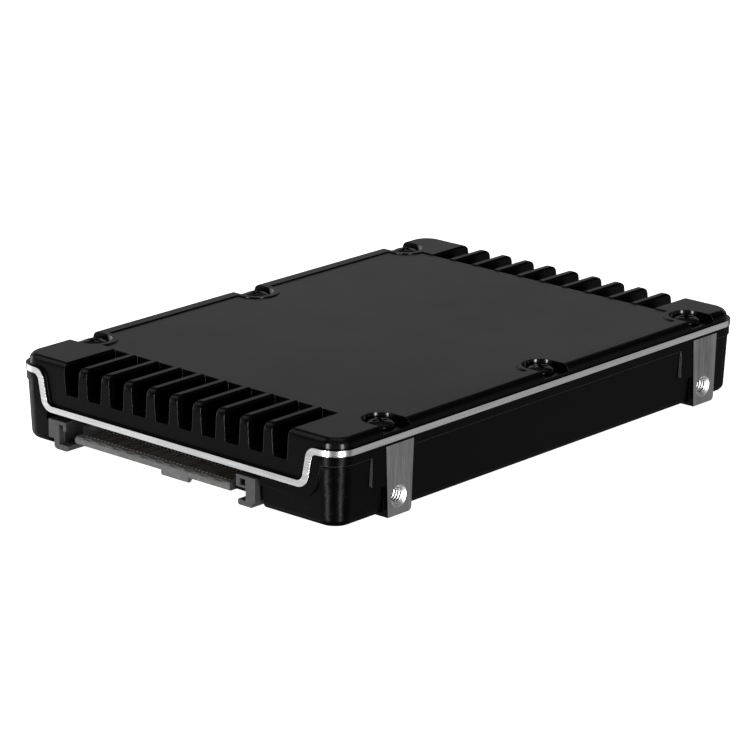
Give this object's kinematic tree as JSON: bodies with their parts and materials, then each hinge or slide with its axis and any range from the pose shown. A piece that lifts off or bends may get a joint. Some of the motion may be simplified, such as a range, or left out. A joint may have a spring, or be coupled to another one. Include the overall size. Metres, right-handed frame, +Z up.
{
  "type": "solid state drive",
  "caption": "Flat 2.5-inch solid state drive: finned black cover over a cast tray, edge plug at one end, threaded side and bottom mounting holes, stacked boards inside.",
  "frame": {"origin": "centre of the underside, on the plane of the four mounting pads", "axes": "+Z up through the cover, +Y along the length away from the plug, +X across the width; the plug faces -Y"},
  "size_m": [0.0698, 0.1004, 0.0146],
  "materials": {
    "cover_paint": "satin black over a machined bare edge",
    "tray_paint": "satin black with bare machined lugs",
    "screw_black": "black oxide",
    "label_film": "plain matt film",
    "connector_plastic": "moulded, fine grain",
    "contact_gold": "gold plated",
    "lock_steel": "tinned",
    "board_mask": "solder mask",
    "chip_black": "moulded",
    "lid_metal": "bead blasted",
    "substrate_green": "laminate",
    "pad_grey": "soft matt",
    "spacer_brass": "turned",
    "screw_steel": "zinc plated",
    "link_plastic": "moulded",
    "capacitor_body": "moulded",
    "tab_tin": "tinned",
    "ferrite": "pressed",
    "can_steel": "satin",
    "ceramic_tan": "fired"
  },
  "bodies": {
    "root": {"top_cover": "cover_paint", "base_tray": "tray_paint", "cover_screws": "screw_black", "underside_label": "label_film", "connector_housing": "connector_plastic", "upper_contacts": "contact_gold", "lower_contacts": "contact_gold", "connector_locks": "lock_steel", "main_board": "board_mask", "memory_board": "board_mask", "board_spacers": "spacer_brass", "board_screws": "screw_steel", "board_link_plug": "link_plastic", "board_link_socket": "link_plastic", "controller_substrate": "substrate_green", "controller_lid": "lid_metal", "controller_pad": "pad_grey", "main_flash_lower": "chip_black", "main_flash_upper": "chip_black", "memory_flash_lower": "chip_black", "memory_flash_upper": "chip_black", "floor_pads": "pad_grey", "middle_pads": "pad_grey", "roof_pads": "pad_grey", "buffer_memory": "chip_black", "holdup_capacitors": "capacitor_body", "capacitor_tabs": "tab_tin", "power_inductors": "ferrite", "power_regulators": "chip_black", "boot_memory": "chip_black", "clock_crystal": "can_steel", "bypass_capacitors": "ceramic_tan"}
  },
  "joints": []
}
